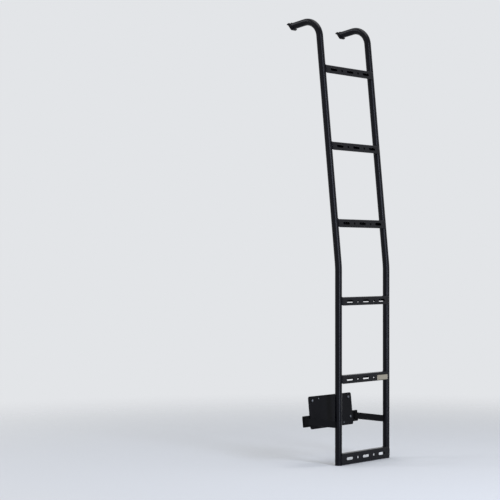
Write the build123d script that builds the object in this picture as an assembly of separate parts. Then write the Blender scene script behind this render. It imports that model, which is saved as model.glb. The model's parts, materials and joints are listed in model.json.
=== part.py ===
from build123d import *
from math import atan2, cos, hypot, radians, sin, tan
import os

os.makedirs("parts", exist_ok=True)

# Side rails: round tube, leaning from a gentle bend upwards, hooked over at the top
tube_od = 31.75
tube_wall = 2.1
rail_spacing = 381.0
lean_height = 900.0
lean_angle = 5.75
lean_bend_radius = 500.0
hook_bend_radius = 76.2
hook_slope = 9.5
hook_reach = 260.0
hook_height = 2017.0

# Plugs in the rails' lower ends
plug_flange = 2.5
plug_depth = 15.0
plug_clearance = 0.2

# Rungs: folded sheet, open downwards, lapped over the fronts of the rails
rung_count = 6
rung_pitch = 355.6
rung_sheet = 3.2
rung_bend_radius = 2.0
rung_depth = 32.0
rung_rear_flange = 23.0
rung_face_height = 38.1
rung_end_inset = 8.5
rung_end_radius = 3.0
bottom_rung_face_height = 50.8
bottom_rung_end_inset = 0.5
bottom_rung_end_radius = 9.0

# Root gaps under the welds
lap_gap = 0.3
cope_gap = 0.25

# Slots and holes in a rung's face
slot_count = 3
slot_pitch = 127.0
slot_length = 50.8
slot_width = 12.7
hole_diameter = 12.7

# Plates and pads on the hook ends
hook_plate_size = 38.1
hook_plate_thickness = 4.76
hook_plate_tilt = 29.0
hook_plate_bend_radius = 3.0
hook_plate_corner = 5.0
hook_lip_length = 12.0
hook_pad_thickness = 3.0
hook_pad_margin = 2.0

# Bracket: the middle of the cross bar's back face, and its tilt from upright
bracket_x = -157.0
bracket_y = 72.0
bracket_z = 204.0
bracket_tilt = 6.0

# Cross bar and mount plate
bar_height = 50.8
bar_thickness = 6.35
bar_stub = 46.0
bar_corner = 4.0
plate_width = 325.0
plate_height = 148.0
plate_thickness = 4.76
plate_corner = 10.0
plate_rise = 36.5

# Bolts through the plate, and the screw holes for a number plate
bolt_hole = 9.0
top_bolt_spacing = 276.0
top_bolt_drop = 20.0
bar_bolt_spacing = 286.0
screw_hole = 6.5
screw_spacing_wide = 177.8
screw_spacing_high = 120.65
nut_clearance = 16.0
spacer_od = 22.0

# Arms from the cross bar to the rails
arm_height = 30.0
arm_thickness = 6.35
arm_foot = 24.0
arm_foot_offset = 30.5
arm_bend_radius = 12.0
arm_rail_height = 182.0

# Small plate on the fifth rung
badge_rung = 5
badge_x = 129.5
badge_drop = 5.0
badge_width = 83.0
badge_height = 23.0
badge_thickness = 1.5
badge_corner = 3.0

# Sizes that follow
tube_radius = tube_od / 2
tube_bore = tube_radius - tube_wall
cope_radius = tube_radius + cope_gap
rail_x = rail_spacing / 2
rung_front = -(tube_radius + lap_gap + rung_sheet)
rung_rear = rung_front + rung_depth
bar_length = plate_width + 2 * bar_stub
sides = {"left": -1, "right": 1}

to_row = Pos(-bracket_x, -bracket_y, -bracket_z)
bracket = Plane(
    origin=(bracket_x, bracket_y, bracket_z),
    x_dir=(1, 0, 0),
    z_dir=(0, -cos(radians(bracket_tilt)), sin(radians(bracket_tilt))),
)
hook_end = Plane(
    origin=(0, hook_reach, hook_height),
    x_dir=(-1, 0, 0),
    z_dir=(0, cos(radians(hook_plate_tilt)), -sin(radians(hook_plate_tilt))),
)


def save(name, solid):
    export_step(to_row * solid, f"parts/{name}.step")


def on_rails(height):
    if height < lean_height:
        return Pos(0, 0, height)
    return Pos(0, 0, lean_height) * Rot(-lean_angle, 0, 0) * Pos(0, 0, height - lean_height)


# Rails
def hook_corner():
    lean = tan(radians(lean_angle))
    drop = tan(radians(hook_slope))
    reach = (hook_height - lean_height + hook_reach * drop) * lean / (1 + lean * drop)
    return (0, reach, lean_height + reach / lean)


def make_rail():
    spare = tube_od
    tip = (0, hook_reach + spare, hook_height - spare * tan(radians(hook_slope)))
    line = FilletPolyline(
        (0, 0, 0),
        (0, 0, lean_height),
        hook_corner(),
        tip,
        radius=[lean_bend_radius, hook_bend_radius],
    )
    ring = Circle(tube_radius) - Circle(tube_bore)
    trim = Box(2 * tube_od, 2 * tube_od, 2 * tube_od, align=(Align.CENTER, Align.CENTER, Align.MIN))
    return sweep(ring, path=line) - hook_end * trim


def make_plug():
    low = (Align.CENTER, Align.CENTER, Align.MIN)
    flange = Pos(0, 0, -plug_flange) * Cylinder(tube_radius, plug_flange, align=low)
    return flange + Cylinder(tube_bore - plug_clearance, plug_depth, align=low)


# Rungs
def channel_profile(face_height):
    middle = (rung_front + rung_rear) / 2
    outer = Pos(middle, 0) * Rectangle(rung_depth, face_height)
    outer = fillet(outer.vertices().group_by(Axis.Y)[-1], rung_bend_radius + rung_sheet)
    inner = Pos(middle, -rung_sheet) * Rectangle(rung_depth - 2 * rung_sheet, face_height)
    inner = fillet(inner.vertices().group_by(Axis.Y)[-1], rung_bend_radius)
    below_flange = face_height - rung_rear_flange
    low = (Align.CENTER, Align.MIN)
    spare = Pos(rung_rear, -face_height / 2) * Rectangle(rung_depth, below_flange, align=low)
    return outer - inner - spare


def in_line(count):
    return [Pos((number - (count - 1) / 2) * slot_pitch, 0) for number in range(count)]


def face_cuts():
    slots = [place * SlotOverall(slot_length, slot_width) for place in in_line(slot_count)]
    holes = [place * Circle(hole_diameter / 2) for place in in_line(slot_count - 1)]
    return slots + holes


def make_rung(face_height, end_inset, end_radius):
    length = rail_spacing - 2 * end_inset
    channel = extrude(Plane.YZ * channel_profile(face_height), length / 2, both=True)
    outline = Plane.XZ * RectangleRounded(length, face_height, end_radius)
    channel = channel & extrude(outline, 2 * rung_depth, both=True)
    for side in sides.values():
        channel -= Pos(side * rail_x, 0, 0) * Cylinder(cope_radius, 2 * face_height)
    for cut in face_cuts():
        channel -= Pos(0, rung_front, 0) * extrude(Plane.XZ * cut, 2 * rung_sheet, both=True)
    return channel


def rung_height(number, face_height):
    tread = bottom_rung_face_height + (rung_count - number) * rung_pitch
    return tread - face_height / 2


# Hook ends
def make_hook_plate():
    half = hook_plate_size / 2
    reach = hook_plate_thickness + hook_lip_length
    block = Rectangle(hook_plate_size, reach, align=(Align.CENTER, Align.MIN))
    block = fillet(
        block.vertices().group_by(Axis.Y)[0].group_by(Axis.X)[-1],
        hook_plate_bend_radius + hook_plate_thickness,
    )
    hollow = Pos(-hook_plate_thickness, hook_plate_thickness) * Rectangle(
        hook_plate_size, reach, align=(Align.CENTER, Align.MIN)
    )
    hollow = fillet(hollow.vertices().group_by(Axis.Y)[0].group_by(Axis.X)[-1], hook_plate_bend_radius)
    plate = extrude(Plane.YZ * (block - hollow), half, both=True)
    corners = plate.edges().filter_by(Axis.Z).group_by(Axis.Y)[0]
    return hook_end * fillet(corners, hook_plate_corner)


def make_hook_pad():
    width = hook_plate_size - 2 * hook_pad_margin
    lip_side = hook_plate_thickness + hook_plate_bend_radius
    length = hook_plate_size - hook_pad_margin - lip_side
    low = (Align.CENTER, Align.MIN)
    pad = Pos(0, hook_pad_margin - hook_plate_size / 2) * Rectangle(width, length, align=low)
    return hook_end * Pos(0, 0, hook_plate_thickness) * extrude(pad, hook_pad_thickness)


# Bracket, drawn flat: across, up the plate and outwards from the cross bar's back
def pairs(spacing, height):
    return [Pos(side * spacing / 2, height) for side in sides.values()]


def top_bolts():
    return pairs(top_bolt_spacing, plate_rise + plate_height / 2 - top_bolt_drop)


def bar_bolts():
    return pairs(bar_bolt_spacing, 0)


def plate_screws(row):
    return pairs(screw_spacing_wide, plate_rise + row * screw_spacing_high / 2)


def make_mount_plate():
    flat = Pos(0, plate_rise) * RectangleRounded(plate_width, plate_height, plate_corner)
    for place in top_bolts() + bar_bolts():
        flat -= place * Circle(bolt_hole / 2)
    for place in plate_screws(1) + plate_screws(-1):
        flat -= place * Circle(screw_hole / 2)
    return bracket * Pos(0, 0, bar_thickness) * extrude(flat, plate_thickness)


def make_cross_bar():
    flat = RectangleRounded(bar_length, bar_height, bar_corner)
    for place in bar_bolts():
        flat -= place * Circle(bolt_hole / 2)
    for place in plate_screws(-1):
        flat -= place * Circle(nut_clearance / 2)
    return bracket * extrude(flat, bar_thickness)


def make_spacer(place):
    ring = Circle(spacer_od / 2) - Circle(bolt_hole / 2)
    return bracket * place * extrude(ring, bar_thickness)


def make_arm(side):
    foot = Vector(side * (plate_width / 2 + arm_foot_offset), 0, bar_thickness + arm_thickness / 2)
    rail = bracket.to_local_coords(Vector(side * rail_x, 0, arm_rail_height))
    span = rail - foot
    turn = atan2(span.Y, span.X)
    reach = hypot(span.X, span.Y)
    line = FilletPolyline((-arm_foot / 2, 0), (arm_foot / 2, 0), (reach, span.Z), radius=arm_bend_radius)
    on_edge = Plane(
        origin=foot,
        x_dir=(cos(turn), sin(turn), 0),
        z_dir=(sin(turn), -cos(turn), 0),
    )
    strap = extrude(trace(line, arm_thickness), arm_height / 2, both=True)
    cope = Pos(side * rail_x, 0, arm_rail_height) * Cylinder(cope_radius, 4 * arm_height)
    return bracket * on_edge * strap - cope


def make_badge():
    flat = Plane.XZ * RectangleRounded(badge_width, badge_height, badge_corner)
    rung = on_rails(rung_height(badge_rung, rung_face_height))
    return rung * Pos(badge_x, rung_front, -badge_drop) * extrude(flat, badge_thickness)


rail = make_rail()
plug = make_plug()
hook_plate = make_hook_plate()
hook_pad = make_hook_pad()
for side_name, side in sides.items():
    save(f"{side_name}_rail", Pos(side * rail_x, 0, 0) * rail)
    save(f"{side_name}_rail_plug", Pos(side * rail_x, 0, 0) * plug)
    save(f"{side_name}_hook_plate", Pos(side * rail_x, 0, 0) * hook_plate)
    save(f"{side_name}_hook_pad", Pos(side * rail_x, 0, 0) * hook_pad)
    save(f"{side_name}_arm", make_arm(side))
for side_name, place in zip(sides, top_bolts()):
    save(f"{side_name}_spacer", make_spacer(place))

rung = make_rung(rung_face_height, rung_end_inset, rung_end_radius)
for number in range(1, rung_count):
    save(f"rung_{number}", on_rails(rung_height(number, rung_face_height)) * rung)
bottom_rung = make_rung(bottom_rung_face_height, bottom_rung_end_inset, bottom_rung_end_radius)
save(f"rung_{rung_count}", on_rails(rung_height(rung_count, bottom_rung_face_height)) * bottom_rung)

save("mount_plate", make_mount_plate())
save("cross_bar", make_cross_bar())
save("badge_plate", make_badge())
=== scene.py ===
import json
import math

import bmesh
import bpy
from bmesh.types import BMEdge, BMFace, BMVert
from mathutils import Matrix, Vector
from mathutils.geometry import intersect_line_line, intersect_line_plane

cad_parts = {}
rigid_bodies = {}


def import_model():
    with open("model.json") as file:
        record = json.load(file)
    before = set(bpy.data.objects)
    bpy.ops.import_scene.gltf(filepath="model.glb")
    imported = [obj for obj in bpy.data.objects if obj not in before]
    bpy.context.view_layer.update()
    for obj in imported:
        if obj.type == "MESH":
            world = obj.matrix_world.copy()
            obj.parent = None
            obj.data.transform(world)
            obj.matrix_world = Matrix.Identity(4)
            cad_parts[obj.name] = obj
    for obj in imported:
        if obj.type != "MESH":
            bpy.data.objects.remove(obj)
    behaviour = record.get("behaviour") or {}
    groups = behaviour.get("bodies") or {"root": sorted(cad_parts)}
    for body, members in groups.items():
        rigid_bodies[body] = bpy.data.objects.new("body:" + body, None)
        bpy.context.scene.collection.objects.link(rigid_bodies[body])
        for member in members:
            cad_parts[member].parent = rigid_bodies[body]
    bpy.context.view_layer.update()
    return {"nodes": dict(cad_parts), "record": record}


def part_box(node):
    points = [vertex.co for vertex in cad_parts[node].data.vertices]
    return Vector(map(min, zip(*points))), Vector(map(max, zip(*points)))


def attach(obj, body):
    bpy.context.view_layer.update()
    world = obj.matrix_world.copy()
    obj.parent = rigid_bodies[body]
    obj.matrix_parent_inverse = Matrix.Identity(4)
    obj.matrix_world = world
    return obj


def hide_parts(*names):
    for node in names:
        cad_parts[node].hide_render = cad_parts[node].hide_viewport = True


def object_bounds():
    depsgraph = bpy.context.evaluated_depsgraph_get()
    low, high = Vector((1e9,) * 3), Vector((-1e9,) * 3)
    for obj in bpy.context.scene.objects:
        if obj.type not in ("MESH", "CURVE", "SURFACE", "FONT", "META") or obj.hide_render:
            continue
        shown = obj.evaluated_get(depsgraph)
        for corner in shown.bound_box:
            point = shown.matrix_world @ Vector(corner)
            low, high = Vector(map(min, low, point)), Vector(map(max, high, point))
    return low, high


for spare in list(bpy.data.objects):  # start from an empty scene
    bpy.data.objects.remove(spare)

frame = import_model()
nodes = frame["nodes"]
mm = 0.001
mergeGap = 0.002 * mm
sides = {"left": -1, "right": 1}
upward = Vector((0, 0, 1))
print("frame loaded:", len(nodes), "nodes")

# what the pieces are set out from
ladder = {
    "origin": Vector((157, -72, -204)) * mm,  # midway between the rails' lower ends
    "railX": 190.5 * mm,
    "tubeRadius": 15.875 * mm,
    "leanHeight": 900 * mm,
    "leanAngle": math.radians(5.75),
    "rungCount": 6,  # numbered from the top
    "rungPitch": 355.6 * mm,
    "lowestTread": 50.8 * mm,
    "faceHeight": 38.1 * mm,
    "faceFront": -19.375 * mm,
}
bracket = {
    "tilt": math.radians(6),
    "barThickness": 6.35 * mm,
    "plateThickness": 4.76 * mm,
}
plateFront = bracket["barThickness"] + bracket["plateThickness"]
onBracket = Matrix.Rotation(math.pi / 2 - bracket["tilt"], 4, "X")  # across, up the plate, outwards


def railFoot(side):
    return Matrix.Translation(ladder["origin"] + Vector((side * ladder["railX"], 0, 0)))


def onRails(height):  # midway between the rails, turned with them above the lean
    foot = Matrix.Translation(ladder["origin"])
    if height < ladder["leanHeight"]:
        return foot @ Matrix.Translation((0, 0, height))
    bend = Matrix.Translation((0, 0, ladder["leanHeight"]))
    lean = Matrix.Rotation(-ladder["leanAngle"], 4, "X")
    return foot @ bend @ lean @ Matrix.Translation((0, 0, height - ladder["leanHeight"]))


# materials
def toLinear(colour):
    parts = [int(colour[i:i + 2], 16) / 255 for i in (1, 3, 5)]
    return [v / 12.92 if v <= 0.04045 else ((v + 0.055) / 1.055) ** 2.4 for v in parts] + [1]


# a colour Mix has its factor at input 0, its colours at 6 and 7, and its result at output 2
def addNode(tree, kind, settings=None, inputs=None, links=None):
    node = tree.nodes.new(kind)
    for name, value in (settings or {}).items():
        setattr(node, name, value)
    for name, value in (inputs or {}).items():
        node.inputs[name].default_value = value
    for name, socket in (links or {}).items():
        tree.links.new(socket, node.inputs[name])
    return node


def newMaterial(name, inputs):
    material = bpy.data.materials.new(name)
    material.use_nodes = True
    shader = material.node_tree.nodes["Principled BSDF"]
    for socket, value in inputs.items():
        shader.inputs[socket].default_value = value
    return material, material.node_tree, shader


# satin black polyester powder on steel: a dark even skin with faint orange peel and broad soft
# highlights, greyed by dust where it looks up
coat = {
    "ior": 1.5,
    "shine": 0.13,
    "deep": "#06060a",
    "thin": "#0c0c12",
    "film": 45 * mm,  # slow change of film thickness
    "filmRange": (0.3, 0.7),
    "roughness": (0.23, 0.33),
    "peel": 2.5 * mm,  # real orange peel is about 1 mm, drawn coarser so that it shows
    "peelStrength": 0.35,
    "peelHeight": 0.12 * mm,
    "dust": "#4a4a4b",
    "dustMost": 0.25,
    "dustFrom": 0.35,  # how far a face has to look up, from 0 to 1
    "patch": 18 * mm,
    "patchRange": (0.35, 0.7),
}


def makeCoat():
    material, tree, shader = newMaterial(
        "powderCoatBlack", {"IOR": coat["ior"], "Specular IOR Level": coat["shine"]}
    )
    spot = addNode(tree, "ShaderNodeTexCoord").outputs["Object"]
    film = addNode(
        tree, "ShaderNodeTexNoise",
        inputs={"Scale": 1 / coat["film"], "Detail": 3.0},
        links={"Vector": spot},
    )
    peel = addNode(
        tree, "ShaderNodeTexNoise",
        inputs={"Scale": 1 / coat["peel"], "Detail": 2.0},
        links={"Vector": spot},
    )
    patches = addNode(
        tree, "ShaderNodeTexNoise",
        inputs={"Scale": 1 / coat["patch"], "Detail": 6.0, "Roughness": 0.65},
        links={"Vector": spot},
    )
    skin = addNode(
        tree, "ShaderNodeMix", {"data_type": "RGBA"},
        {6: toLinear(coat["deep"]), 7: toLinear(coat["thin"])},
        {0: film.outputs[0]},
    )
    normal = addNode(tree, "ShaderNodeNewGeometry").outputs["Normal"]
    facing = addNode(tree, "ShaderNodeSeparateXYZ", links={0: normal})
    lying = addNode(
        tree, "ShaderNodeMapRange", {"interpolation_type": "SMOOTHSTEP"},
        {"From Min": coat["dustFrom"], "From Max": 1.0, "To Max": coat["dustMost"]},
        {"Value": facing.outputs["Z"]},
    )
    patchy = addNode(
        tree, "ShaderNodeMapRange",
        inputs={"From Min": coat["patchRange"][0], "From Max": coat["patchRange"][1]},
        links={"Value": patches.outputs[0]},
    )
    dusty = addNode(
        tree, "ShaderNodeMath", {"operation": "MULTIPLY"},
        links={0: lying.outputs[0], 1: patchy.outputs[0]},
    )
    dusted = addNode(
        tree, "ShaderNodeMix", {"data_type": "RGBA"},
        {7: toLinear(coat["dust"])},
        {0: dusty.outputs[0], 6: skin.outputs[2]},
    )
    gloss = addNode(
        tree, "ShaderNodeMapRange",
        inputs={
            "From Min": coat["filmRange"][0], "From Max": coat["filmRange"][1],
            "To Min": coat["roughness"][0], "To Max": coat["roughness"][1],
        },
        links={"Value": film.outputs[0]},
    )
    bump = addNode(
        tree, "ShaderNodeBump",
        inputs={"Strength": coat["peelStrength"], "Distance": coat["peelHeight"]},
        links={"Height": peel.outputs[0]},
    )
    tree.links.new(dusted.outputs[2], shader.inputs["Base Color"])
    tree.links.new(gloss.outputs[0], shader.inputs["Roughness"])
    tree.links.new(bump.outputs[0], shader.inputs["Normal"])
    return material


# electrocoat on steel, thin, even and almost without shine; darker than the ladder's coat as painted
# shade for the bracket behind the rails
shadedElectrocoat = {
    "ior": 1.5,
    "shine": 0.07,
    "dark": "#040405",
    "pale": "#080809",
    "cloud": 30 * mm,
    "cloudDetail": 5.0,
    "roughness": (0.5, 0.65),
    "grit": 1.5 * mm,  # here and below coarser than the real grain, so that it shows close up
    "gritDetail": 2.0,
    "gritStrength": 0.2,
    "gritHeight": 0.08 * mm,
}
# the same, paler and with a little more sheen, for the broad plate: painted shade less deep than on
# the arms and bar
lessShadedElectrocoat = {**shadedElectrocoat, "shine": 0.1, "dark": "#070709", "pale": "#0e0e11"}
# moulded EPDM rubber: dead matt, a little greyed by bloom, with fine pores
rubber = {
    "ior": 1.52,
    "shine": 0.25,
    "dark": "#101010",
    "pale": "#1e1e1d",
    "cloud": 6 * mm,
    "cloudDetail": 4.0,
    "roughness": (0.7, 0.9),
    "grit": 1.2 * mm,
    "gritDetail": 2.0,
    "gritStrength": 0.3,
    "gritHeight": 0.15 * mm,
}
# moulded LDPE: dull black with a spark-eroded grain
polythene = {
    "ior": 1.51,
    "shine": 0.4,
    "dark": "#111113",
    "pale": "#1a1a1c",
    "cloud": 9 * mm,
    "cloudDetail": 3.0,
    "roughness": (0.5, 0.65),
    "grit": 0.8 * mm,
    "gritDetail": 1.0,
    "gritStrength": 0.2,
    "gritHeight": 0.08 * mm,
}


def makeSkin(name, skin):
    material, tree, shader = newMaterial(
        name, {"IOR": skin["ior"], "Specular IOR Level": skin["shine"]}
    )
    spot = addNode(tree, "ShaderNodeTexCoord").outputs["Object"]
    cloud = addNode(
        tree, "ShaderNodeTexNoise",
        inputs={"Scale": 1 / skin["cloud"], "Detail": skin["cloudDetail"]},
        links={"Vector": spot},
    )
    grit = addNode(
        tree, "ShaderNodeTexNoise",
        inputs={"Scale": 1 / skin["grit"], "Detail": skin["gritDetail"]},
        links={"Vector": spot},
    )
    tone = addNode(
        tree, "ShaderNodeMix", {"data_type": "RGBA"},
        {6: toLinear(skin["dark"]), 7: toLinear(skin["pale"])},
        {0: cloud.outputs[0]},
    )
    dull = addNode(
        tree, "ShaderNodeMapRange",
        inputs={"To Min": skin["roughness"][0], "To Max": skin["roughness"][1]},
        links={"Value": cloud.outputs[0]},
    )
    bump = addNode(
        tree, "ShaderNodeBump",
        inputs={"Strength": skin["gritStrength"], "Distance": skin["gritHeight"]},
        links={"Height": grit.outputs[0]},
    )
    tree.links.new(tone.outputs[2], shader.inputs["Base Color"])
    tree.links.new(dull.outputs[0], shader.inputs["Roughness"])
    tree.links.new(bump.outputs[0], shader.inputs["Normal"])
    return material


# brushed, pale gold anodised aluminium: fine lines along its length, soft bright sheen
anodised = {
    "warm": "#a39d8e",
    "pale": "#b5afa1",
    "brushLength": 40 * mm,
    "brushWidth": 1.2 * mm,  # real lines are finer, these just show
    "roughness": (0.32, 0.48),
    "lineStrength": 0.1,
    "lineHeight": 0.05 * mm,
}


def makeAnodised():
    material, tree, shader = newMaterial("anodisedPaleGold", {"Metallic": 1.0})
    spot = addNode(tree, "ShaderNodeTexCoord").outputs["Object"]
    fine = 1 / anodised["brushWidth"]
    stretch = addNode(
        tree, "ShaderNodeMapping",
        inputs={"Scale": (1 / anodised["brushLength"], fine, fine)},
        links={"Vector": spot},
    )
    lines = addNode(
        tree, "ShaderNodeTexNoise",
        inputs={"Scale": 1.0, "Detail": 3.0},
        links={"Vector": stretch.outputs[0]},
    )
    tone = addNode(
        tree, "ShaderNodeMix", {"data_type": "RGBA"},
        {6: toLinear(anodised["warm"]), 7: toLinear(anodised["pale"])},
        {0: lines.outputs[0]},
    )
    sheen = addNode(
        tree, "ShaderNodeMapRange",
        inputs={"To Min": anodised["roughness"][0], "To Max": anodised["roughness"][1]},
        links={"Value": lines.outputs[0]},
    )
    bump = addNode(
        tree, "ShaderNodeBump",
        inputs={"Strength": anodised["lineStrength"], "Distance": anodised["lineHeight"]},
        links={"Height": lines.outputs[0]},
    )
    tree.links.new(tone.outputs[2], shader.inputs["Base Color"])
    tree.links.new(sheen.outputs[0], shader.inputs["Roughness"])
    tree.links.new(bump.outputs[0], shader.inputs["Normal"])
    return material


# zinc plate on steel, weathered: cool grey, slightly clouded, a soft shine left where it is bright
zinc = {
    "dull": "#5d6065",
    "bright": "#85888d",
    "spangle": 3 * mm,
    "dullRoughness": 0.5,
    "brightRoughness": 0.3,
}


def makeZinc():
    material, tree, shader = newMaterial("weatheredZincPlate", {"Metallic": 1.0})
    spot = addNode(tree, "ShaderNodeTexCoord").outputs["Object"]
    cloud = addNode(
        tree, "ShaderNodeTexNoise",
        inputs={"Scale": 1 / zinc["spangle"], "Detail": 4.0},
        links={"Vector": spot},
    )
    tone = addNode(
        tree, "ShaderNodeMix", {"data_type": "RGBA"},
        {6: toLinear(zinc["dull"]), 7: toLinear(zinc["bright"])},
        {0: cloud.outputs[0]},
    )
    sheen = addNode(
        tree, "ShaderNodeMapRange",
        inputs={"To Min": zinc["dullRoughness"], "To Max": zinc["brightRoughness"]},
        links={"Value": cloud.outputs[0]},
    )
    tree.links.new(tone.outputs[2], shader.inputs["Base Color"])
    tree.links.new(sheen.outputs[0], shader.inputs["Roughness"])
    return material


finishes = {
    "black_powder_coat": makeCoat(),
    # the bracket's dark finish is partly painted shade
    "bracket_black": makeSkin("electrocoatPaintedShade", shadedElectrocoat),
    "pad_rubber": makeSkin("mouldedRubber", rubber),
    "plug_plastic": makeSkin("mouldedPolythene", polythene),
    "badge_metal": makeAnodised(),
    "bright_zinc": makeZinc(),
}
for part in frame["record"]["subparts"]:
    nodes[part["node"]].material_slots[0].material = finishes[part["material_slot"]]
# the broad plate takes the paler copy, with less painted shade than the arms and bar
nodes["mount_plate"].material_slots[0].material = makeSkin("electrocoatLessPaintedShade", lessShadedElectrocoat)
print("materials set:", len(bpy.data.materials))


# pieces
def pick(geom, kind):
    return [item for item in geom if isinstance(item, kind)]


def unique(items):
    return list(dict.fromkeys(items))


def edgesAlong(mesh, way):
    edges = []
    for edge in mesh.edges:
        run = edge.verts[0].co - edge.verts[1].co
        if run.cross(way).length < mergeGap:
            edges.append(edge)
    return edges


def broadFace(mesh, way):  # the one that shows most area that way
    mesh.normal_update()
    return max(mesh.faces, key=lambda face: face.calc_area() * face.normal.dot(way))


def roundEdges(mesh, edges, size, segments=2):
    bmesh.ops.bevel(
        mesh, geom=edges, offset=size, affect="EDGES", segments=segments, profile=0.5, material=-1
    )


# edges that turn by more degrees than sharp stay crisp
def addPiece(name, mesh, place, slot, standsFor=None, sharp=40):
    bmesh.ops.transform(mesh, matrix=place, verts=mesh.verts)
    bmesh.ops.remove_doubles(mesh, verts=mesh.verts, dist=mergeGap)
    bmesh.ops.recalc_face_normals(mesh, faces=mesh.faces)
    for face in mesh.faces:
        face.smooth = True
    for edge in mesh.edges:
        edge.smooth = edge.calc_face_angle(0) < math.radians(sharp)
    data = bpy.data.meshes.new(name)
    mesh.to_mesh(data)
    mesh.free()
    data.materials.append(finishes[slot])
    piece = bpy.data.objects.new(name, data)
    bpy.context.scene.collection.objects.link(piece)
    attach(piece, "root")
    if standsFor:
        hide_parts(standsFor)


# rails: the bent tube and its bore in steps too fine to show, trimmed where its hook plate begins
hook = {
    "end": Vector((0, 260, 2017)) * mm,  # from the rail's lower end
    "tilt": math.radians(29),
    "slope": math.radians(9.5),
    "plateSize": 38.1 * mm,
    "plateThickness": 4.76 * mm,
    "plateBend": 3 * mm,
    "plateCorner": 5 * mm,
}
rail = {
    "boreRadius": 13.775 * mm,
    "roundSteps": 72,
    "leanRadius": 500 * mm,
    "leanSteps": 16,
    "hookRadius": 76.2 * mm,
    "hookSteps": 64,
}
plateWay = Vector((0, math.cos(hook["tilt"]), -math.sin(hook["tilt"])))  # square to the hook plates


def ringOf(verts):
    return verts + unique(edge for vert in verts for edge in vert.link_edges)


def growRing(mesh, ring):
    grown = bmesh.ops.extrude_edge_only(mesh, edges=pick(ring, BMEdge))["geom"]
    verts = pick(grown, BMVert)
    return verts + [edge for edge in pick(grown, BMEdge) if set(edge.verts) <= set(verts)]


def runOn(mesh, ring, move):
    ring = growRing(mesh, ring)
    bmesh.ops.translate(mesh, vec=move, verts=pick(ring, BMVert))
    return ring


def bendOn(mesh, ring, centre, angle, steps):
    return bmesh.ops.spin(
        mesh, geom=ring, axis=(-1, 0, 0), cent=centre, dvec=(0, 0, 0), angle=angle, steps=steps
    )["geom_last"]


def drawTube(mesh, radius):
    lean, slope = ladder["leanAngle"], hook["slope"]
    leanWay = Vector((0, math.sin(lean), math.cos(lean)))
    leanBack = Vector((0, math.cos(lean), -math.sin(lean)))
    hookWay = Vector((0, math.cos(slope), -math.sin(slope)))
    knee = Vector((0, 0, ladder["leanHeight"]))
    corner = intersect_line_line(knee, knee + leanWay, hook["end"], hook["end"] + hookWay)[0]
    turn = leanWay.angle(hookWay)
    leanCut = rail["leanRadius"] * math.tan(lean / 2)  # from a corner to where its arc begins
    hookCut = rail["hookRadius"] * math.tan(turn / 2)
    ring = ringOf(bmesh.ops.create_circle(mesh, segments=rail["roundSteps"], radius=radius)["verts"])
    ring = runOn(mesh, ring, (0, 0, ladder["leanHeight"] - leanCut))
    centre = (0, rail["leanRadius"], ladder["leanHeight"] - leanCut)
    ring = bendOn(mesh, ring, centre, lean, rail["leanSteps"])
    ring = runOn(mesh, ring, leanWay * ((corner - knee).length - leanCut - hookCut))
    centre = corner - leanWay * hookCut + leanBack * rail["hookRadius"]
    ring = bendOn(mesh, ring, centre, turn, rail["hookSteps"])
    ring = runOn(mesh, ring, hookWay * ((hook["end"] - corner).length - hookCut))
    for vert in pick(ring, BMVert):  # trimmed on the plate's slant
        vert.co = intersect_line_plane(vert.co, vert.co + hookWay, hook["end"], plateWay)


for name, side in sides.items():
    mesh = bmesh.new()
    drawTube(mesh, ladder["tubeRadius"])
    rims = [edge for edge in mesh.edges if edge.is_boundary]
    nearby = 2 * ladder["tubeRadius"]
    inwards = [rail["boreRadius"] / ladder["tubeRadius"]] * 3
    for centre in (Vector(), hook["end"]):  # the wall at each end
        rim = [edge for edge in rims if (edge.verts[0].co - centre).length < nearby]
        wall = pick(growRing(mesh, rim), BMVert)
        bmesh.ops.scale(mesh, vec=inwards, space=Matrix.Translation(-centre), verts=wall)
    drawTube(mesh, rail["boreRadius"])
    addPiece(f"{name}_rail_drawn", mesh, railFoot(side), "black_powder_coat", f"{name}_rail")
print("rails drawn")

# weld beads: a ring is extruded along a run or round an arc, and narrows at every second step
weld = {
    "sides": 8,
    "ripple": 1.7 * mm,
    "trough": 0.84,  # of the bead's radius
    "tip": 0.5,
    "sharp": 80,
}


def layBead(mesh, start, step, count, radius):
    tip = bmesh.ops.create_circle(
        mesh, cap_ends=True, segments=weld["sides"], radius=radius * weld["tip"], matrix=start
    )["verts"]
    ring = ringOf(tip)
    size = weld["tip"]
    for number in range(1, count + 1):
        ring = growRing(mesh, ring)
        verts = pick(ring, BMVert)
        bmesh.ops.transform(mesh, matrix=step, verts=verts)
        wanted = weld["tip"] if number == count else (1 if number % 2 else weld["trough"])
        middle = sum((vert.co for vert in verts), Vector()) / len(verts)
        bmesh.ops.scale(
            mesh, vec=[wanted / size] * 3, space=Matrix.Translation(-middle), verts=verts
        )
        size = wanted
    bmesh.ops.contextual_create(mesh, geom=pick(ring, BMEdge))


def layRun(mesh, begin, end, radius):
    run = end - begin
    count = max(2, round(run.length / weld["ripple"]))
    start = Matrix.Translation(begin) @ run.to_track_quat("Z", "Y").to_matrix().to_4x4()
    layBead(mesh, start, Matrix.Translation(run / count), count, radius)


def layArc(mesh, centre, reach, begin, end, radius):
    count = round(abs(end - begin) * reach / weld["ripple"])
    there, back = Matrix.Translation(centre), Matrix.Translation(-centre)
    step = there @ Matrix.Rotation((end - begin) / count, 4, "Z") @ back
    start = there @ Matrix.Rotation(begin, 4, "Z") @ Matrix.Translation((reach, 0, 0))
    layBead(mesh, start @ Matrix.Rotation(-math.pi / 2, 4, "X"), step, count, radius)


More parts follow.
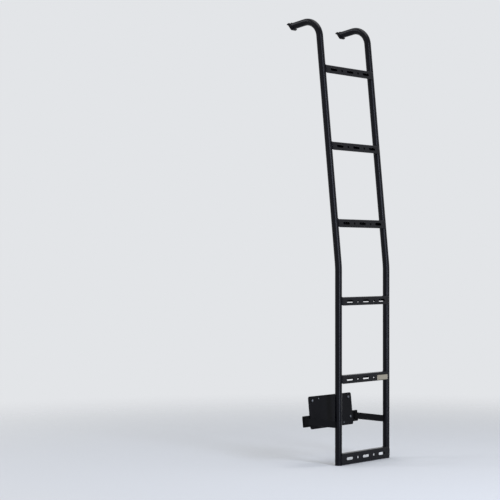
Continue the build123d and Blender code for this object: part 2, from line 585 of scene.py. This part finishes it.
# rung welds: the face's ends, the coped tread and the rear flange, at both rails
rungWeld = {
    "endX": 182 * mm,
    "lowestEndX": 190 * mm,
    "endGap": 1.2 * mm,
    "endMargin": 2 * mm,
    "lowestMargin": 8 * mm,
    "faceRadius": 2.9 * mm,
    "faceSunk": 0.96,  # how far the bead lies behind the face's front, in its radii
    "treadRadius": 2.2 * mm,
    "treadGap": 0.8 * mm,
    "frontAngle": math.radians(60),
    "rearAngle": math.radians(50),
    "flangeY": 12.9 * mm,
    "flangeGap": 1 * mm,
    "flangeTop": 3 * mm,
    "flangeLow": 23 * mm,
}
for number in range(1, ladder["rungCount"] + 1):
    lowest = number == ladder["rungCount"]  # its face is taller and longer
    faceHeight = ladder["lowestTread"] if lowest else ladder["faceHeight"]
    endX = rungWeld["lowestEndX"] if lowest else rungWeld["endX"]
    margin = rungWeld["lowestMargin"] if lowest else rungWeld["endMargin"]
    faceY = ladder["faceFront"] + rungWeld["faceSunk"] * rungWeld["faceRadius"]
    flangeY = rungWeld["flangeY"]
    inset = math.sqrt(ladder["tubeRadius"] ** 2 - flangeY ** 2) + rungWeld["flangeGap"]
    mesh = bmesh.new()
    for side in sides.values():
        faceX = side * (endX + rungWeld["endGap"])
        low = Vector((faceX, faceY, margin - faceHeight))
        top = Vector((faceX, faceY, -margin))
        layRun(mesh, low, top, rungWeld["faceRadius"])
        tube = Vector((side * ladder["railX"], 0, 0))
        reach = ladder["tubeRadius"] + rungWeld["treadGap"]
        inward = 0 if side < 0 else math.pi
        begin = inward + side * rungWeld["frontAngle"]
        end = inward - side * rungWeld["rearAngle"]
        layArc(mesh, tube, reach, begin, end, rungWeld["treadRadius"])
        flangeX = side * (ladder["railX"] - inset)
        low = Vector((flangeX, flangeY, -rungWeld["flangeLow"]))
        top = Vector((flangeX, flangeY, -rungWeld["flangeTop"]))
        layRun(mesh, low, top, rungWeld["treadRadius"])
    height = ladder["lowestTread"] + (ladder["rungCount"] - number) * ladder["rungPitch"]
    name = f"rung_{number}_welds"
    addPiece(name, mesh, onRails(height), "black_powder_coat", sharp=weld["sharp"])
print("rung welds laid")


# hook welds: a bead round each rail where it meets its plate
def onHook(side):  # across, up the plate, through it
    across = Vector((-1, 0, 0))
    turn = Matrix((across, plateWay.cross(across), plateWay)).transposed().to_4x4()
    return railFoot(side) @ Matrix.Translation(hook["end"]) @ turn


hookWeld = {"radius": 2.0 * mm, "gap": 0.6 * mm, "lap": math.radians(10)}
for name, side in sides.items():
    mesh = bmesh.new()
    reach = ladder["tubeRadius"] + hookWeld["gap"]
    centre = -hookWeld["gap"] * upward
    layArc(mesh, centre, reach, 0, math.tau + hookWeld["lap"], hookWeld["radius"])
    oval = 1 / math.cos(hook["tilt"] - hook["slope"])  # the tube meets the plate at a slant
    bmesh.ops.scale(mesh, vec=(1, oval, 1), verts=mesh.verts)
    addPiece(f"{name}_hook_weld", mesh, onHook(side), "black_powder_coat", sharp=weld["sharp"])

# hook pads: moulded rubber with grip grooves, thicker towards the lip and rounded to fit its bend
pad = {
    "margin": 0.8 * mm,
    "thin": 4.2 * mm,
    "thick": 8.5 * mm,
    "bendSteps": 6,
    "cornerSteps": 8,
    "edge": 0.4 * mm,
    "border": 1.2 * mm,
    "grooves": 5,
    "grooveDepth": 0.8 * mm,
}


def cutGrooves(mesh, front, tread):
    strips = 2 * pad["grooves"] + 1
    for cut in range(1, strips):
        height = (cut / strips - 0.5) * tread
        edges = unique(edge for face in front for edge in face.edges)
        verts = unique(vert for face in front for vert in face.verts)
        halves = bmesh.ops.bisect_plane(
            mesh, geom=front + edges + verts, plane_co=(0, height, 0), plane_no=(0, 1, 0)
        )["geom"]
        front = pick(halves, BMFace)
    front.sort(key=lambda face: face.calc_center_median().y)
    for face in bmesh.ops.extrude_discrete_faces(mesh, faces=front[1::2])["faces"]:
        bmesh.ops.translate(mesh, vec=(0, 0, -pad["grooveDepth"]), verts=face.verts[:])


for name, side in sides.items():
    width = hook["plateSize"] - 2 * pad["margin"]
    length = width - hook["plateThickness"]
    mesh = bmesh.new()
    bmesh.ops.create_cube(mesh, size=1)
    bmesh.ops.scale(mesh, vec=(width, length, pad["thin"]), verts=mesh.verts)
    # the edge in the plate's bend, the lower corners, then the edge round the front
    inner = [edge for edge in mesh.edges if all(vert.co.y > 0 > vert.co.z for vert in edge.verts)]
    roundEdges(mesh, inner, hook["plateBend"], pad["bendSteps"])
    lower = [edge for edge in edgesAlong(mesh, upward) if edge.verts[0].co.y < 0]
    roundEdges(mesh, lower, hook["plateCorner"] - pad["margin"], pad["cornerSteps"])
    roundEdges(mesh, list(broadFace(mesh, upward).edges), pad["edge"])
    front = [broadFace(mesh, upward)]
    bmesh.ops.inset_region(mesh, faces=front, thickness=pad["border"], use_even_offset=True)
    cutGrooves(mesh, front, length - 2 * (pad["edge"] + pad["border"]))
    rise = (pad["thick"] - pad["thin"]) / length
    wedge = Matrix.Identity(4)  # slopes the front and its grooves
    wedge[2][1] = rise
    wedge[2][3] = rise * length / 2
    deepest = pad["thin"] / 2 - pad["grooveDepth"] - mergeGap
    proud = [vert for vert in mesh.verts if vert.co.z > deepest]
    bmesh.ops.transform(mesh, matrix=wedge, verts=proud)
    middle = pad["margin"] - hook["plateSize"] / 2 + length / 2
    seat = Matrix.Translation((0, middle, hook["plateThickness"] + pad["thin"] / 2))
    place = onHook(side) @ seat
    addPiece(f"{name}_hook_pad_grooved", mesh, place, "pad_rubber", f"{name}_hook_pad")
print("hooks dressed")

# arm welds: round each foot on the cross bar, and down both faces of the strap at the rail
arm = {
    "footAcross": 193 * mm,
    "footLength": 24 * mm,
    "height": 30 * mm,
    "thickness": 6.35 * mm,
    "railHeight": 182 * mm,
    "radius": 2.6 * mm,
    "lift": 0.8 * mm,
    "footRun": 15 * mm,
    "footBead": 0.8,  # of the strap's height
    "railBead": 0.96,  # of the strap's height
    "railGap": 0.3 * mm,
    "faceGap": 0.4 * mm,
}
for name, side in sides.items():
    foot = Vector((side * arm["footAcross"], 0, bracket["barThickness"]))
    joint = onBracket.inverted() @ railFoot(side) @ Vector((0, 0, arm["railHeight"]))
    span = joint - foot
    rise = span.z - arm["thickness"] / 2
    along = Vector((span.x, span.y, 0))
    reach = along.length
    along.normalize()
    across = upward.cross(along)
    half = across * (arm["height"] / 2)
    tail = foot - along * (arm["footLength"] / 2) + upward * arm["lift"]
    tip = tail + along * arm["footRun"]
    end = half * arm["footBead"]
    mesh = bmesh.new()
    layRun(mesh, tail - end, tail + end, arm["radius"])
    for edge in (half, -half):
        layRun(mesh, tail + edge + along * arm["radius"], tip + edge, arm["radius"])
    leg = along * (reach - arm["footLength"] / 2) + upward * rise
    leg.normalize()
    outward = across.cross(leg) * (arm["thickness"] / 2 + arm["faceGap"])
    contact = joint - leg * (ladder["tubeRadius"] + arm["railGap"])
    end = half * arm["railBead"]
    for middle in (contact + outward, contact - outward):
        layRun(mesh, middle - end, middle + end, arm["radius"])
    addPiece(f"{name}_arm_welds", mesh, onBracket, "bracket_black", sharp=weld["sharp"])
print("arm welds laid")


# radii and heights, spun into a round form
def turnOutline(mesh, outline, steps):
    verts = [mesh.verts.new((radius, 0, height)) for radius, height in outline]
    edges = [mesh.edges.new(pair) for pair in zip(verts, verts[1:])]
    bmesh.ops.spin(
        mesh, geom=verts + edges, axis=(0, 0, 1), cent=(0, 0, 0), dvec=(0, 0, 0),
        angle=math.tau, steps=steps, use_merge=True,
    )


# rail plugs: a domed cap with a ring groove and a ribbed spigot, turned from one outline
plug = {
    "steps": 48,
    "flange": 2.5 * mm,
    "cap": [  # shares of the tube's radius and of the flange
        (0, 1), (0.55, 1), (0.62, 0.82), (0.7, 1), (0.9, 1),
        (0.97, 0.8), (1, 0.4), (1, 0.05), (0.985, 0),
    ],
    "play": 0.25 * mm,
    "depth": 15 * mm,
    "ribs": 3,
    "ribHeight": 0.8 * mm,
    "ribRise": 0.6 * mm,
    "ribLength": 2.4 * mm,
    "taper": 1.6 * mm,
}
spigot = rail["boreRadius"] - plug["play"]
root = spigot - plug["ribHeight"]
outline = [(out * ladder["tubeRadius"], -down * plug["flange"]) for out, down in plug["cap"]]
outline.append((root, 0))
for rib in range(plug["ribs"]):
    low = (rib + 0.5) * plug["depth"] / (plug["ribs"] + 0.5)
    outline += [(root, low), (spigot, low + plug["ribRise"]), (root, low + plug["ribLength"])]
outline += [(spigot - plug["taper"], plug["depth"]), (0, plug["depth"])]
for name, side in sides.items():
    mesh = bmesh.new()
    turnOutline(mesh, outline, plug["steps"])
    addPiece(f"{name}_rail_plug_domed", mesh, railFoot(side), "plug_plastic", f"{name}_rail_plug")
print("rail plugs set")

# bracket bolts: low domed head with a hex socket, washer and threaded shank
bolt = {
    "places": {"top_bolt": (138 * mm, 90.5 * mm), "bar_bolt": (143 * mm, 0)},  # out and up
    "turn": 0.3,  # radians, the other way on the left
    "headRadius": 6.2 * mm,
    "headHeight": 3.4 * mm,
    "headEdge": 0.4 * mm,
    "headSteps": 24,
    "domeSteps": 6,
    "socket": 2.9 * mm,  # middle to corner, 5 mm across flats
    "socketRim": 0.5 * mm,
    "socketDepth": 2.2 * mm,
    "washerRadius": 8.2 * mm,
    "washerHeight": 1.0 * mm,
    "washerEdge": 0.3 * mm,
    "washerSteps": 40,
    "shank": 3.9 * mm,
    "core": 3.0 * mm,
    "coreEdge": 0.5 * mm,
    "coreSteps": 24,
    "end": -5 * mm,
    "pitch": 1.6 * mm,
    "threadDepth": 0.88 * mm,
    "threadMargin": 0.5 * mm,
    "turnSteps": 20,
    "sharp": 30,
}


def addDisc(mesh, segments, radius, low, high, chamfer):
    made = bmesh.ops.create_cone(
        mesh, cap_ends=True, segments=segments, radius1=radius, radius2=radius, depth=high - low,
        matrix=Matrix.Translation((0, 0, (low + high) / 2)),
    )["verts"]
    faces = unique(face for vert in made for face in vert.link_faces)
    caps = [face for face in faces if len(face.verts) == segments]
    roundEdges(mesh, [edge for face in caps for edge in face.edges], chamfer)


def addThread(mesh, low, high):
    pitch = bolt["pitch"]
    root = bolt["shank"] - bolt["threadDepth"]
    marks = [(root, 0), (bolt["shank"], pitch / 2), (root, pitch)]
    verts = [mesh.verts.new((reach, 0, low + height)) for reach, height in marks]
    edges = [mesh.edges.new(pair) for pair in zip(verts, verts[1:] + verts[:1])]
    turns = math.floor((high - low) / pitch)
    steps = turns * bolt["turnSteps"]
    last = bmesh.ops.spin(
        mesh, geom=verts + edges, axis=(0, 0, 1), cent=(0, 0, 0),
        dvec=(0, 0, (high - low - pitch) / steps), angle=turns * math.tau, steps=steps,
    )["geom_last"]
    for ring in (edges, pick(last, BMEdge)):
        bmesh.ops.contextual_create(mesh, geom=ring)


def addButton(mesh, seat):
    rim = bolt["socket"] + bolt["socketRim"]
    edge = seat + bolt["headEdge"]
    dome = bolt["headHeight"] - bolt["headEdge"]
    outline = []
    for number in range(bolt["domeSteps"] + 1):
        turn = math.pi / 2 * number / bolt["domeSteps"]
        reach = rim + (bolt["headRadius"] - rim) * math.sin(turn)
        outline.append((reach, edge + dome * math.cos(turn)))
    outline += [(bolt["headRadius"], seat), (0, seat)]
    turnOutline(mesh, outline, bolt["headSteps"])
    bmesh.ops.remove_doubles(mesh, verts=mesh.verts, dist=mergeGap)
    flats = growRing(mesh, [edge for edge in mesh.edges if edge.is_boundary])
    sixth = math.tau / 6
    for vert in pick(flats, BMVert):  # round rim to hexagon
        turn = math.atan2(vert.co.y, vert.co.x) % sixth - sixth / 2
        reach = bolt["socket"] * math.cos(sixth / 2) / math.cos(turn)
        vert.co.xy = vert.co.xy.normalized() * reach
    bottom = runOn(mesh, flats, (0, 0, -bolt["socketDepth"]))
    bmesh.ops.contextual_create(mesh, geom=pick(bottom, BMEdge))


def addBolt(name, place):
    head = plateFront + bolt["washerHeight"]
    margin = bolt["threadMargin"]
    mesh = bmesh.new()
    addButton(mesh, head)
    addDisc(mesh, bolt["coreSteps"], bolt["core"], bolt["end"], plateFront, bolt["coreEdge"])
    addThread(mesh, bolt["end"] + margin, plateFront - margin)
    addPiece(name, mesh, place, "bright_zinc", sharp=bolt["sharp"])
    mesh = bmesh.new()
    addDisc(
        mesh, bolt["washerSteps"], bolt["washerRadius"], plateFront, head, bolt["washerEdge"]
    )
    addPiece(f"{name}_washer", mesh, place, "bracket_black", sharp=bolt["sharp"])


for kind, (out, up) in bolt["places"].items():
    for name, side in sides.items():
        turn = Matrix.Rotation(bolt["turn"] * side, 4, "Z")
        addBolt(f"{name}_{kind}", onBracket @ Matrix.Translation((side * out, up, 0)) @ turn)
print("bracket bolts set")

# plate screws: pan heads in the four small holes, each with a nut behind
screw = {
    "out": 88.9 * mm,
    "rows": {"upper": 96.825 * mm, "lower": -23.825 * mm},
    "steps": 32,
    "headRadius": 3.4 * mm,
    "headHeight": 2.6 * mm,
    "crown": [(0.6, 0.04), (0.85, 0.2)],  # out and down, in head radii
    "side": 0.85 * mm,
    "socket": 1.7 * mm,
    "socketFloor": 1.53 * mm,
    "socketDepth": 1.3 * mm,
    "socketEdge": 0.1 * mm,
    "socketRim": 0.3 * mm,
    "shank": 2.9 * mm,
    "tail": 0.6 * mm,
    "tailEdge": 0.6 * mm,
    "nutSides": 6,
    "nutRadius": 5.6 * mm,  # middle to corner
    "nutHeight": 4.6 * mm,
    "nutEdge": 0.4 * mm,
    "sharp": 30,
}


def addScrew(name, place):
    radius, shank, socket = screw["headRadius"], screw["shank"], screw["socket"]
    top = plateFront + screw["headHeight"]
    depth = top - screw["socketDepth"]
    outline = [(0, depth), (screw["socketFloor"], depth), (socket, top - screw["socketEdge"])]
    outline.append((socket + screw["socketRim"], top))
    outline += [(out * radius, top - down * radius) for out, down in screw["crown"]]
    outline += [(radius, plateFront + screw["side"]), (radius, plateFront), (shank, plateFront)]
    outline.append((shank, screw["tail"] + screw["tailEdge"]))
    outline += [(shank - screw["tailEdge"], screw["tail"]), (0, screw["tail"])]
    mesh = bmesh.new()
    turnOutline(mesh, outline, screw["steps"])
    back = bracket["barThickness"]  # the plate's back, level with the bar's front
    low = back - screw["nutHeight"]
    addDisc(mesh, screw["nutSides"], screw["nutRadius"], low, back, screw["nutEdge"])
    addPiece(name, mesh, place, "bright_zinc", sharp=screw["sharp"])


for row, up in screw["rows"].items():
    for name, side in sides.items():
        place = onBracket @ Matrix.Translation((side * screw["out"], up, 0))
        addScrew(f"{name}_{row}_plate_screw", place)
print("screws set")

# badge: a bare plate with a raised rim
badge = {
    "width": 83 * mm,
    "height": 23 * mm,
    "thickness": 1.5 * mm,
    "corner": 3 * mm,
    "cornerSteps": 6,
    "edge": 0.3 * mm,
    "rim": 1.6 * mm,
    "slope": 0.4 * mm,
    "sunk": 0.4 * mm,
    "sharp": 30,
}
low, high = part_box("badge_plate")
forward = Vector((0, -1, 0))
mesh = bmesh.new()
bmesh.ops.create_cube(mesh, size=1)
bmesh.ops.scale(mesh, vec=(badge["width"], badge["thickness"], badge["height"]), verts=mesh.verts)
roundEdges(mesh, edgesAlong(mesh, forward), badge["corner"], badge["cornerSteps"])
roundEdges(mesh, list(broadFace(mesh, forward).edges), badge["edge"])
front = [broadFace(mesh, forward)]
bmesh.ops.inset_region(mesh, faces=front, thickness=badge["rim"], use_even_offset=True)
bmesh.ops.inset_region(
    mesh, faces=front, thickness=badge["slope"], depth=-badge["sunk"], use_even_offset=True
)
place = Matrix.Translation((low + high) / 2)
addPiece("badge_bare", mesh, place, "badge_metal", "badge_plate", sharp=badge["sharp"])
print("badge set")

# floor: pale matt sheet that fades into the backdrop all round
stage = {
    "floor": "#eceef0",
    "radius": 8.0,
    "sides": 96,
    "gap": 0.2 * mm,
    "fadeFrom": 0.9,
    "fadeTo": 4.0,
    "backdrop": "#e3e5e8",
    "ambientTint": "#f4f6fa",
    "ambient": 0.35,
}
middle = ladder["origin"].copy()
middle.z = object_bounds()[0].z - stage["gap"]
mesh = bmesh.new()
bmesh.ops.create_circle(mesh, cap_ends=True, segments=stage["sides"], radius=stage["radius"])
bmesh.ops.translate(mesh, vec=middle, verts=mesh.verts)
floorData = bpy.data.meshes.new("floor")
mesh.to_mesh(floorData)
mesh.free()
floor = bpy.data.objects.new("floor", floorData)
bpy.context.scene.collection.objects.link(floor)
floorMaterial, tree, shader = newMaterial(
    "paleFloor",
    {"Base Color": toLinear(stage["floor"]), "Roughness": 0.9, "Specular IOR Level": 0.1},
)
spot = addNode(tree, "ShaderNodeTexCoord").outputs["Object"]
centred = addNode(
    tree, "ShaderNodeVectorMath", {"operation": "SUBTRACT"}, inputs={1: middle}, links={0: spot}
)
away = addNode(
    tree, "ShaderNodeVectorMath", {"operation": "LENGTH"}, links={0: centred.outputs[0]}
)
fade = addNode(
    tree, "ShaderNodeMapRange", {"interpolation_type": "SMOOTHSTEP"},
    {"From Min": stage["fadeFrom"], "From Max": stage["fadeTo"], "To Min": 1.0, "To Max": 0.0},
    {"Value": away.outputs["Value"]},
)
tree.links.new(fade.outputs[0], shader.inputs["Alpha"])
floorData.materials.append(floorMaterial)

# backdrop: pale where it is seen or mirrored, softer where it only lights
world = bpy.data.worlds.new("backdrop")
world.use_nodes = True
bpy.context.scene.world = world
tree = world.node_tree
tree.nodes.clear()
path = addNode(tree, "ShaderNodeLightPath")
seen = addNode(
    tree, "ShaderNodeMath", {"operation": "ADD", "use_clamp": True},
    links={0: path.outputs["Is Camera Ray"], 1: path.outputs["Is Glossy Ray"]},
)
shown = addNode(
    tree, "ShaderNodeMath", {"operation": "ADD", "use_clamp": True},
    links={0: seen.outputs[0], 1: path.outputs["Is Transmission Ray"]},
)
pale = addNode(
    tree, "ShaderNodeBackground", inputs={"Color": toLinear(stage["backdrop"]), "Strength": 1.0}
)
ambient = addNode(
    tree, "ShaderNodeBackground",
    inputs={"Color": toLinear(stage["ambientTint"]), "Strength": stage["ambient"]},
)
both = addNode(
    tree, "ShaderNodeMixShader",
    links={0: shown.outputs[0], 1: ambient.outputs[0], 2: pale.outputs[0]},
)
addNode(tree, "ShaderNodeOutputWorld", links={"Surface": both.outputs[0]})
print("stage set")

# lights: one tall soft box in front, a weak one from the left, one overhead and one high behind
lamps = {
    "front": {"from": (-1.3, -4.6, 1.2), "size": (1.2, 4.0), "power": 200, "colour": "#e0e9ff"},
    "left": {"from": (-4.5, 0.5, 2.2), "size": (2.0, 2.0), "power": 8, "colour": "#eef3ff"},
    "overhead": {"from": (0.3, -0.6, 4.6), "size": (2.5, 2.5), "power": 60, "colour": "#ffffff"},
    "behind": {"from": (-2.8, 3.0, 4.4), "size": (1.6, 1.6), "power": 60, "colour": "#f4f7ff"},
}
aim = Vector((0.157, -0.03, 1.0))  # about the ladder's middle
for name, lamp in lamps.items():
    light = bpy.data.lights.new(f"{name}_light", "AREA")
    light.shape = "RECTANGLE"
    light.size, light.size_y = lamp["size"]
    light.energy = lamp["power"]
    light.color = toLinear(lamp["colour"])[:3]
    holder = bpy.data.objects.new(f"{name}_light", light)
    holder.location = lamp["from"]
    holder.rotation_euler = (aim - holder.location).to_track_quat("-Z", "Y").to_euler()
    bpy.context.scene.collection.objects.link(holder)

# camera: level, from the left of the ladder's front
view = {
    "place": (-5.9459, -4.3850, 0.7229),
    "heading": math.radians(39.259),
    "picture": 500,  # pixels along each side
    "focal": 1608.96,  # in pixels
    "horizon": 260.95,  # pixels down from the top
    "sensor": 36.0,
}
cameraData = bpy.data.cameras.new("camera")
cameraData.sensor_fit = "HORIZONTAL"
cameraData.sensor_width = view["sensor"]
cameraData.lens = view["focal"] / view["picture"] * view["sensor"]
cameraData.shift_y = view["horizon"] / view["picture"] - 0.5
camera = bpy.data.objects.new("camera", cameraData)
camera.location = view["place"]
camera.rotation_euler = (math.pi / 2, 0, view["heading"] - math.pi / 2)
bpy.context.scene.collection.objects.link(camera)
bpy.context.scene.camera = camera
bpy.context.scene.view_settings.view_transform = "Standard"
print("lights and camera set")
